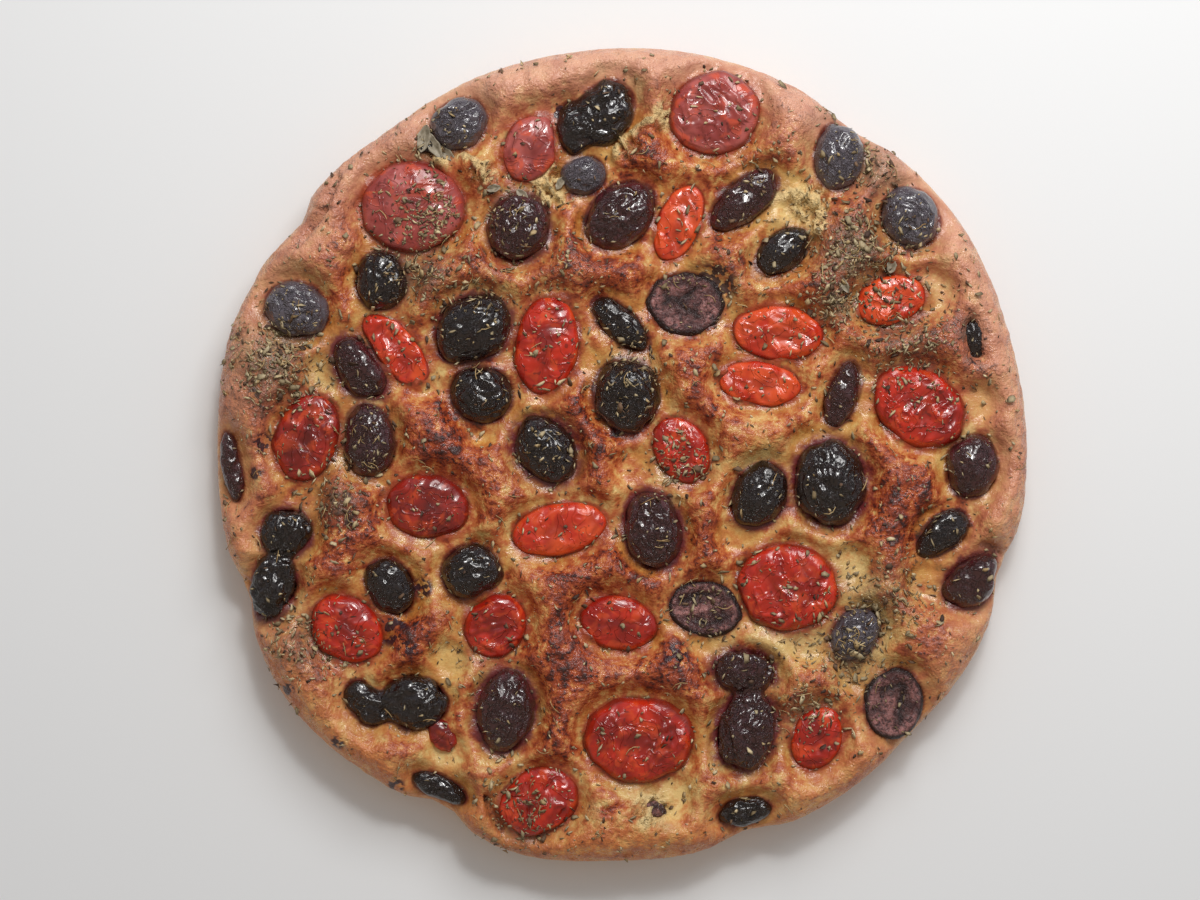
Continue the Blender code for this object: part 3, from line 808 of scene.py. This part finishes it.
def tomato_material(name, skin, deep, crease):
    s = Shader(name)
    crown, fold = s.read("crown"), s.read("fold")
    colour = s.blend(s.patches((9 * MM, 2.0), 0.40, 0.60), deep, skin)
    pale = s.patches((5.5 * MM, 2.0, 0.5, 0.8), 0.50, 0.64, 0.0, 0.45)
    colour = s.blend(pale, colour, (222, 84, 34))
    # Darker red along the big creases and over the sunken middle: the skin's deeper red, with painted
    # shade in these hollows
    colour = s.blend(s.between(fold, 0.35, 0.95, 0.0, 0.4), colour, crease)
    colour = s.blend(s.between(crown, 0.65, 1.0, 0.0, 0.5), colour, crease)
    spots = s.patches((2.4 * MM, 1.0), 0.66, 0.72, 0.0, 0.6)
    colour = s.blend(spots, colour, (84, 24, 18))
    colour = s.blend(s.between(crown, 0.12, 0.02, 0.0, 0.75), colour, (104, 30, 18))
    deep_folds = s.between(crown, 0.05, 0.35, 0.2, 0.8)
    relief = s.folds((7.0 * MM, 1.0, 0.5, 1.4), 0.05, 0.28 * MM, deep_folds)
    relief = s.bump(s.noise(2.2 * MM, 1.0, 0.5, 0.6), 0.08 * MM, 0.7, relief)
    rough = s.patches((4 * MM, 2.0), 0.35, 0.65, 0.14, 0.32)
    return s.finish(Base_Color=colour, Roughness=rough, Normal=relief, Coat_Weight=0.25, **OILY_COAT)


# The toppings' meshes

def remeshed(node):
    """A smooth, evenly meshed copy of a topping's solid, in the solid's own box."""
    corners, triangles = welded(node)
    mesh = new_mesh(node + "_baked", corners, triangles)
    piece = placed("shape", mesh)
    smooth = piece.modifiers.new("smooth", "SUBSURF")
    smooth.levels = smooth.render_levels = 2
    even = piece.modifiers.new("even", "REMESH")
    even.mode = "VOXEL"
    even.voxel_size = TOPPING_VOXEL
    graph = bpy.context.evaluated_depsgraph_get()
    made = bpy.data.meshes.new_from_object(piece.evaluated_get(graph))
    bpy.data.objects.remove(piece)
    points = corners_of(made)
    low, high = corners.min(axis=0), corners.max(axis=0)
    size = points.max(axis=0) - points.min(axis=0)
    points = (points - points.min(axis=0)) / size * (high - low) + low
    move_corners(made, points)
    made.name = node + "_baked"
    return made


def settle(mesh, topping):
    """Bring a topping's top back to the height that its solid has."""
    points = corners_of(mesh)
    above = points[:, 2] > topping.level
    share = (topping.high - topping.level) / (points[:, 2].max() - topping.level)
    points[above, 2] = topping.level + (points[above, 2] - topping.level) * share
    move_corners(mesh, points)


def long_axis(loop):
    """The direction in plan in which an outline is longest."""
    centred = loop - loop.mean(axis=0)
    _, axes = np.linalg.eigh(centred.T @ centred)
    return np.append(axes[:, 1], 0.0)


def uneven(mesh, topping, seed, amount):
    """Move a topping's flanks in and out, so that its outline is no clean oval."""
    points = corners_of(mesh)
    centre = topping.loop.mean(axis=0)
    plan = np.column_stack((points[:, :2], np.full(len(points), seed * 0.1)))
    swell = 1 + amount * layered(plan, 0.9 * topping.half + 3 * MM, 57, 2)
    points[:, :2] = centre + (points[:, :2] - centre) * swell[:, None]
    move_corners(mesh, points)


def olive_relief(topping, number, points, inside, share):
    """How an olive's skin rises, in millimetres, and where its folds are."""
    draw = np.random.default_rng(SEED + number)
    shrivel = OLIVE_SHRIVEL.get(topping.number, draw.uniform(0.6, 1.1))
    shift = points + number * 0.05
    winding = bent(drawn_out(shift, long_axis(topping.loop), 0.4), 5 * MM, 1.2 * MM, 50)
    wrinkle = creases(winding, 5.0 * MM, 51)
    net = ridges(winding, 2.7 * MM, 55, 2.4)
    dent = layered(shift, 8 * MM, 61, 2)
    crown = step(share, 0.05, 0.40)
    relief = 0.90 * net - 0.65 * np.maximum(wrinkle, 0) ** 2
    return shrivel * relief * crown + 1.1 * dent - 0.1, 1 - net


def cut_relief(topping, number, points, inside, share):
    """The same for an olive's cut face."""
    shift = points + number * 0.05
    across = drawn_out(shift, long_axis(topping.loop), 0.5)
    lip = bell((inside - 1.6 * MM) / (1.2 * MM))
    rough = layered(across, 4.5 * MM, 71, 3)
    cleft = np.maximum(creases(bent(across, 6 * MM, 2 * MM, 74), 9 * MM, 73), 0)
    deep = cleft * step(share, 0.25, 0.5)
    return 0.8 * lip + 1.0 * rough - 1.5 * deep, deep


def tomato_relief(topping, number, points, inside, share):
    """The same for a tomato half: pleats, a belt near the edge and a sunken middle."""
    shrivel = TOMATO_SHRIVEL[int(topping.number) - 1]
    turn = np.random.default_rng(SEED + number).uniform(0, math.pi)
    along = np.array([math.cos(turn), math.sin(turn), 0])
    shift = points + number * 0.07
    winding = bent(drawn_out(shift, along, 0.45), 7 * MM, 2.2 * MM, 80)
    big = creases(winding, 9 * MM, 85)
    pleats = ridges(winding, 6.0 * MM, 88, 5.0) + 0.55 * ridges(winding, 3.4 * MM, 90, 4.0)
    belt = bell((inside - 3.0 * MM) / (2.6 * MM))
    sag = step(share, 0.3, 0.9)
    crown = step(share, 0.08, 0.35)
    relief = shrivel * crown * (0.80 * pleats - 0.7 * np.maximum(big, 0) ** 2)
    relief += 0.2 * belt - 0.7 * sag * min(shrivel, 1)
    relief += (0.5 + 0.4 * shrivel) * layered(shift, 9 * MM, 91, 2)
    return relief, np.clip(big, 0, 1) * crown


# For each kind of topping: its relief, how far its outline strays, and its slot
KINDS = {
    "olive": (olive_relief, 0.12, "olive_skin"),
    "cut": (cut_relief, 0.08, "olive_flesh"),
    "tomato": (tomato_relief, 0.12, "tomato_skin"),
}


def bake(topping, number):
    """A topping's baked mesh. It keeps how far up the crown each corner is, and the folds."""
    relief_of, strays, _ = KINDS[topping.kind]
    mesh = remeshed(topping.node)
    uneven(mesh, topping, number, strays)
    points = corners_of(mesh)
    inside = np.maximum(-signed_distance(points[:, :2], topping.loop), 0)
    share = np.clip(inside / topping.half, 0, 1)
    upper = step(points[:, 2] - topping.level, -2.5 * MM, 0.5 * MM)
    relief, fold = relief_of(topping, number, points, inside, share)
    push(mesh, MM * upper * relief)
    settle(mesh, topping)
    store(mesh, "crown", share * upper)
    store(mesh, "fold", fold)
    return mesh


def torn_bit(name, x, y, length, width, turn, rise, level):
    """A small crumpled bit lying in the dough."""
    mesh = bpy.data.meshes.new(name)
    with editing(mesh) as bm:
        bmesh.ops.create_icosphere(bm, subdivisions=4, radius=0.5)
    angle = math.radians(turn)
    cos, sin = math.cos(angle), math.sin(angle)
    a, b, c = (corners_of(mesh) * (length * MM, width * MM, rise * MM)).T
    spun = np.column_stack((a * cos - b * sin + x * MM, a * sin + b * cos + y * MM, c))
    move_corners(mesh, spun)
    folds = creases(spun, 3 * MM, 97)
    push(mesh, MM * (0.7 * layered(spun, 4 * MM, 95, 2) - 0.35 * np.maximum(folds, 0)))
    move_corners(mesh, corners_of(mesh) + (0, 0, level * MM))
    store(mesh, "crown", np.clip(c / (rise * MM) + 0.5, 0, 1))
    store(mesh, "fold", np.clip(folds, 0, 1))
    return mesh


# Tomato halves: how far each has shrivelled, from the first to the last, and those that aren't red; the
# hazed pink ones are red halves painted paler and pinker as a painted reflection of the window
TOMATO_SHRIVEL = (
    *(0.45, 0.9, 0.25, 0.9, 0.35, 1.1, 1.1, 0.8, 0.8, 1.0, 0.8),
    *(0.3, 0.55, 0.7, 1.0, 0.5, 1.1, 0.3, 1.1, 1.5, 0.5),
)
TOMATO_SHADES = {"hazed_pink": "01 02 03", "orange": "04 06 07 08 09 13", "deep": "11 12"}
TOMATO_COLOURS = {
    "red": ((186, 40, 18), (150, 26, 13), (92, 15, 10)),
    "orange": ((210, 76, 34), (190, 46, 22), (132, 28, 15)),
    "deep": ((152, 34, 22), (116, 22, 15), (74, 15, 12)),
    "hazed_pink": ((172, 86, 80), (146, 58, 54), (104, 38, 36)),
}

# How wrinkled the olives are that stand out from the rest
OLIVE_SHRIVEL = {
    "05": 0.3, "06": 0.4, "11": 0.4, "12": 0.5, "13": 0.6,
    "15": 0.8, "20": 0.4, "22": 0.4, "23": 0.5, "25": 0.4,
    "26": 0.3, "27": 0.3,
}
# Olives that aren't black; the sheened blue ones are dark olives painted blue-grey as a painted
# reflection of the window
OLIVE_SHADES = {"sheened_blue": "01 02 07 08 10 28", "brown": "03 04 05 11 12 18 21 22 25 27 30 pair_3"}
OLIVE_COLOURS = {
    "black": ((25, 12, 9), (42, 14, 16)),
    "sheened_blue": ((82, 75, 82), (56, 38, 46)),
    "brown": ((56, 24, 24), (86, 28, 36)),
}
# Torn bits pressed into the dough, in millimetres: what of, x, y, length, width, turn in degrees,
# height, and the level of their middle
TORN_BITS = (
    ("olive", 116.3, 38.4, 13, 8.0, -80, 5, 20.8),
    ("flesh", 9.2, -118.0, 11, 7, 0, 5, 19.5),
    ("olive", 71.3, 52.6, 9, 7, 80, 5, 21.0),
    ("olive", -66.0, 102.2, 7, 6, 0, 5, 19.5),
    ("tomato", -59.6, -92.6, 12.5, 8.5, -55, 5.0, 19.2),
)


def shade_of(topping, shades, otherwise):
    """The shade under which a topping's number is listed."""
    listed = (shade for shade, numbers in shades.items() if topping.number in numbers.split())
    return next(listed, otherwise)


def make_toppings():
    olives = {name: olive_material("olive_" + name, *look) for name, look in OLIVE_COLOURS.items()}
    tomatoes = {name: tomato_material("tomato_" + name, *look) for name, look in TOMATO_COLOURS.items()}
    flesh = flesh_material()
    made = []
    for number, topping in enumerate(toppings):
        node, slot = topping.node, KINDS[topping.kind][2]
        if topping.kind == "tomato":
            look = tomatoes[shade_of(topping, TOMATO_SHADES, "red")]
        else:
            look = flesh if topping.kind == "cut" else olives[shade_of(topping, OLIVE_SHADES, "black")]
        made.append(show(bake(topping, number), node + "_baked", look, slot, (node,)))
    looks = {
        "olive": (olives["black"], "olive_skin"),
        "flesh": (flesh, "olive_flesh"),
        "tomato": (tomatoes["deep"], "tomato_skin"),
    }
    for number, (kind, *place) in enumerate(TORN_BITS, start=1):
        name = f"torn_{kind}_{number}"
        made.append(show(torn_bit(name, *place), name, *looks[kind]))
    return made


# Oregano

# Heaps: (x, y, spread) in millimetres and how many flakes
OREGANO_HEAPS = (
    (-115, 31, 9, 480), (-66, 60, 8, 230), (-65, 79, 5.5, 210), (-65, 101, 5, 60), (76, 67, 9, 480),
    (71, 50, 5, 200), (93, 38, 11, 330), (-105, -62, 8, 200), (86, -46, 9, 230), (76, -68, 7, 170),
    (60, -84, 6, 120), (-34, -122, 8, 170), (83, 95, 6, 140), (72, 116, 4, 50), (-95, -14, 6, 110),
    (62, -60, 8, 80), (3, 26, 6, 110), (-25, 0, 7, 60), (19, -1, 6, 150), (-24, 60, 10, 90),
    (34, 60, 10, 90), (-45, 55, 8, 90), (-86, 5, 8, 80), (-38, 84, 6, 70), (-50, -68, 5, 30),
    (27, -53, 6, 50), (44, 96, 8, 50),
)
# Flakes everywhere: how many, and how far out. Stalks: how many, their lengths and half width
SCATTERED = 2700
SCATTER_RADIUS = 0.134
STRAWS = 420
STRAW_LENGTHS = (1.8, 5.5)
STRAW_WIDTH = 0.033
# A flake's length in millimetres, as the logarithm's middle and spread, and as limits; its rim points
FLAKE_LOGS = (0.73, 0.42)
FLAKE_LIMITS = (0.8, 4.8)
FLAKE_POINTS = 6
# Whole dried leaves: (x, y, length, width, turn in degrees), in millimetres
LEAVES = (
    (-65.5, 104.5, 9.5, 4.2, 78), (-62.5, 102.5, 10.5, 4.0, -58), (-58.5, 100.0, 8.5, 3.2, -38),
    (-42.5, 88, 5, 2.6, 10), (-33, 86, 5, 2.6, -40), (-20.5, 90, 5, 2.4, 60), (89, 62.5, 5, 3.2, 80),
    (73, 56, 6, 2.6, -60),
)
LEAF_THICKNESS = 0.25 * MM
# Nothing is laid nearer to the edge or higher than this, and rays down start above everything
EDGE_MARGIN = 0.4 * MM
CEILING = 1.02 * cad_box[1][2]
RAY_START = 0.1


def surface_tree(pieces):
    """One search tree over the crust and every topping."""
    corners, faces, start = [], [], 0
    for piece in pieces:
        mesh = piece.data
        corners.append(corners_of(mesh))
        faces += [[v + start for v in face.vertices] for face in mesh.polygons]
        start += len(mesh.vertices)
    return BVHTree.FromPolygons(np.concatenate(corners).tolist(), faces)


def surface_at(tree, x, y):
    """Where the surface is, straight down at a place in plan, and its normal there."""
    at, normal, _, _ = tree.ray_cast(Vector((x, y, RAY_START)), Vector((0, 0, -1)))
    return at, normal


def leaf_shape(rng):
    """A thin bent flake: rim points round a raised middle, and a middle below."""
    n = FLAKE_POINTS
    bearing = np.arange(n) * math.tau / n + rng.uniform(-0.4, 0.4, n)
    reach = rng.uniform(0.5, 1.05, n)
    wide = rng.uniform(0.10, 0.32)
    rim = np.column_stack((np.cos(bearing) * reach * 0.5, np.sin(bearing) * reach * wide, np.zeros(n)))
    curl = 0.8 * rng.uniform(-0.5, 1.0) * rim[:, 0] ** 2
    rim[:, 2] += curl + 2.2 * rng.uniform(0.0, 1.2) * rim[:, 1] ** 2
    middles = [[0, 0, 0.06 * rng.uniform(0, 1)], [0, 0, -0.09]]
    around = [(k, (k + 1) % n) for k in range(n)]
    faces = [[a, b, n] for a, b in around] + [[b, a, n + 1] for a, b in around]
    return np.concatenate((rim, middles)), faces


def leaf_sheet(name, length, width):
    """A whole dried leaf: a thin pointed sheet, folded along its middle and curled, lying along X."""
    along, across = np.meshgrid(np.linspace(-1, 1, 17), np.linspace(-1, 1, 9), indexing="ij")
    x = along * length / 2
    y = across * width / 2 * (1 - along**2) ** 0.7 * (1 + 0.08 * np.sin(8 * along))
    z = 0.75 * np.abs(y) + 0.08 * length * along**2 + 0.04 * width * np.sin(9 * across + 4 * along)
    upper = np.column_stack((x.ravel(), y.ravel(), z.ravel()))
    corner = np.arange(along.size).reshape(along.shape)
    quads = (corner[:-1, :-1], corner[1:, :-1], corner[1:, 1:], corner[:-1, 1:])
    quads = np.stack(quads, axis=-1).reshape(-1, 4)
    edge = np.concatenate((corner[0], corner[1:, -1], corner[-1, -2::-1], corner[-2:0:-1, 0]))
    onward = np.roll(edge, -1)
    skirt = np.stack((onward, edge, edge + along.size, onward + along.size), axis=1)
    faces = np.concatenate((quads, quads[:, ::-1] + along.size, skirt))
    mesh = new_mesh(name, np.concatenate((upper, upper - (0, 0, LEAF_THICKNESS))), faces)
    with editing(mesh) as bm:
        bmesh.ops.remove_doubles(bm, verts=bm.verts, dist=0.01 * MM)
        bmesh.ops.recalc_face_normals(bm, faces=bm.faces)
    return mesh


def straw_shape(rng):
    """A thin bent stalk, as long as 1: four rings of three corners, closed at both ends."""
    corners, faces = [], []
    bend = rng.uniform(-0.28, 0.28)
    for k in range(4):
        x = k / 3 - 0.5
        for a in (side * math.tau / 3 for side in range(3)):
            y = bend * (1 - 4 * x * x) + STRAW_WIDTH * math.cos(a)
            corners.append((x, y, STRAW_WIDTH * math.sin(a)))
    for k in range(3):
        for side in range(3):
            a, b = k * 3 + side, k * 3 + (side + 1) % 3
            faces.append([a, b, b + 3, a + 3])
    faces += [[2, 1, 0], [9, 10, 11]]
    return np.array(corners), faces


def scatter(name, look, shapes, places, tree, rng):
    """Lay shapes on the surface, as one piece: places are (x, y, length, tilt)."""
    corners, faces, tints, start = [], [], [], 0
    for x, y, length, tilt in places:
        at, normal = surface_at(tree, x, y)
        if at is None:
            continue
        shape, sides = shapes(rng)
        lie = normal.to_track_quat("Z", "Y").to_matrix().to_4x4()
        spin = Matrix.Rotation(rng.uniform(0, math.tau), 4, "Z")
        lean = Matrix.Rotation(rng.normal(0, tilt), 4, "X") @ Matrix.Rotation(rng.normal(0, tilt), 4, "Y")
        matrix = np.array((lie @ spin @ lean).to_3x3())
        lifted = shape * length @ matrix.T + np.array(at) + np.array(normal) * 0.12 * length
        if lifted[:, 2].max() > CEILING:
            continue
        corners.append(lifted)
        faces += [[v + start for v in side] for side in sides]
        tints += [rng.uniform(0, 1)] * len(shape)
        start += len(shape)
    mesh = new_mesh(name, np.concatenate(corners), faces)
    store(mesh, "tint", tints)
    show(mesh, name, look, "crust")


def oregano_places(rng):
    """Where the flakes lie, how long each is and how far it tilts."""
    places = []
    for x, y, spread, count in OREGANO_HEAPS:
        for _ in range(count):
            places.append((x * MM + rng.normal(0, spread * MM), y * MM + rng.normal(0, spread * MM)))
    for _ in range(SCATTERED):
        bearing = rng.uniform(0, math.tau)
        radius = SCATTER_RADIUS * math.sqrt(rng.uniform(0, 1))
        places.append((radius * math.cos(bearing), radius * math.sin(bearing)))
    kept = []
    for x, y in places:
        if math.hypot(x, y) <= float(outline_radius(math.atan2(y, x))) - EDGE_MARGIN:
            length = float(np.clip(rng.lognormal(*FLAKE_LOGS), *FLAKE_LIMITS))
            kept.append((x, y, MM * length, 0.5))
    return kept


def herb_material(name, dull, bright, rough=0.8):
    s = Shader(name)
    colour = s.blend(s.read("tint"), dull, bright)
    colour = s.blend(s.noise(0.8 * MM, 2.0), colour, (176, 160, 138), "MULTIPLY")
    return s.finish(Base_Color=colour, Roughness=rough)


def place_leaves(tree):
    look = herb_material("leaves", (120, 112, 94), (198, 190, 172), 0.6)
    for number, (x, y, length, width, turn) in enumerate(LEAVES, start=1):
        at, _ = surface_at(tree, x * MM, y * MM)
        mesh = leaf_sheet(f"leaf_{number}", length * MM, width * MM)
        turned = Matrix.Rotation(math.radians(turn), 4, "Z")
        mesh.transform(Matrix.Translation((x * MM, y * MM, at.z + 0.5 * MM)) @ turned)
        store(mesh, "tint", np.clip(0.5 + layered(corners_of(mesh), 2 * MM, 99, 2), 0, 1))
        show(mesh, mesh.name, look, "crust")


def make_oregano(pieces):
    rng = np.random.default_rng(SEED)
    tree = surface_tree(pieces)
    places = oregano_places(rng)
    # Name, dull and bright colour, and the share of the flakes up to which it goes
    kinds = (
        ("oregano_green", (140, 122, 90), (204, 190, 156), 0.50),
        ("oregano_dark", (76, 54, 44), (134, 106, 82), 0.74),
        ("oregano_pale", (190, 164, 118), (240, 224, 184), 1.0),
    )
    pick = rng.uniform(0, 1, len(places))
    start = 0.0
    for name, dull, bright, end in kinds:
        chosen = [place for place, p in zip(places, pick) if start <= p < end]
        scatter(name, herb_material(name, dull, bright), leaf_shape, chosen, tree, rng)
        start = end
    place_leaves(tree)
    straws = []
    for _ in range(STRAWS):
        x, y, _, _ = places[rng.integers(len(places))]
        straws.append((x, y, MM * rng.uniform(*STRAW_LENGTHS), 0.15))
    look = herb_material("stalks", (176, 142, 92), (232, 206, 152))
    scatter("oregano_stalks", look, straw_shape, straws, tree, rng)


# The room: floor, light and camera

FLOOR_SIZE = 3.0
FLOOR_DROP = 0.2 * MM
FLOOR_CORNERS = ((-1, -1, 0), (1, -1, 0), (1, 1, 0), (-1, 1, 0))
VIEW_WIDTH = 0.400
VIEW_LEVEL = 14 * MM
VIEW_CENTRE = (-7.33 * MM, 1.67 * MM)
CAMERA_HEIGHT = 0.9
SENSOR = 36.0
CLIP = (0.01, 10)
# The sky's colour and strength, away from the window and towards it, where that is, and the fade
DIM_SKY = ((252, 238, 220), 0.38)
BRIGHT_SKY = ((232, 238, 250), 0.56)
SKY_TOWARDS = (0.3, 0.9, 0.0)
SKY_FADE = (-0.3, 0.7)
# Name, width and height, watts, place; and what all of them have
LAMPS = (
    ("window", (0.55, 0.42), 5.3, (0.20, 0.58, 0.67)),
    ("glint", (0.13, 0.10), 1.8, (0.12, 0.52, 0.78)),
)
LAMP_COLOUR = (1.0, 0.99, 0.97)
LAMP_AIM = Vector((0.03, 0.05, 0))


def make_floor():
    mesh = new_mesh("floor", FLOOR_SIZE / 2 * np.array(FLOOR_CORNERS), [(0, 1, 2, 3)])
    floor = placed("floor", mesh)
    floor.location.z = -FLOOR_DROP
    mesh.materials.append(Shader("floor_paint").finish(Base_Color=(226, 228, 230), Roughness=0.7))


def make_lights():
    world = bpy.data.worlds.new("room")
    bpy.context.scene.world = world
    world.use_nodes = True
    sky = Nodes(world.node_tree)
    direction = sky.add("TexCoord", {}, "Generated")
    towards = sky.add("VectorMath", {0: direction, 1: SKY_TOWARDS}, "Value", operation="DOT_PRODUCT")
    colour = sky.ramp(sky.between(towards, *SKY_FADE), (0.0, *DIM_SKY), (1.0, *BRIGHT_SKY))
    sky.feed(world.node_tree.nodes["Background"].inputs["Color"], colour)
    for name, size, watts, place in LAMPS:
        lamp = bpy.data.lights.new(name, "AREA")
        lamp.shape = "RECTANGLE"
        lamp.size, lamp.size_y = size
        lamp.energy = watts
        lamp.color = LAMP_COLOUR
        window = placed(name, lamp)
        window.location = place
        aim = LAMP_AIM - Vector(place)
        window.rotation_euler = aim.to_track_quat("-Z", "Y").to_euler()


def make_camera():
    data = bpy.data.cameras.new("camera")
    data.sensor_width = SENSOR
    data.lens = SENSOR * (CAMERA_HEIGHT - VIEW_LEVEL) / VIEW_WIDTH
    data.clip_start, data.clip_end = CLIP
    camera = placed("camera", data)
    camera.location = (*VIEW_CENTRE, CAMERA_HEIGHT)
    bpy.context.scene.camera = camera
    bpy.context.scene.view_settings.view_transform = "Standard"


crust = show(crust_mesh(), "crust", crust_material(), "crust", ("bread",))
baked = make_toppings()
make_oregano([crust, *baked])
make_floor()
make_lights()
make_camera()
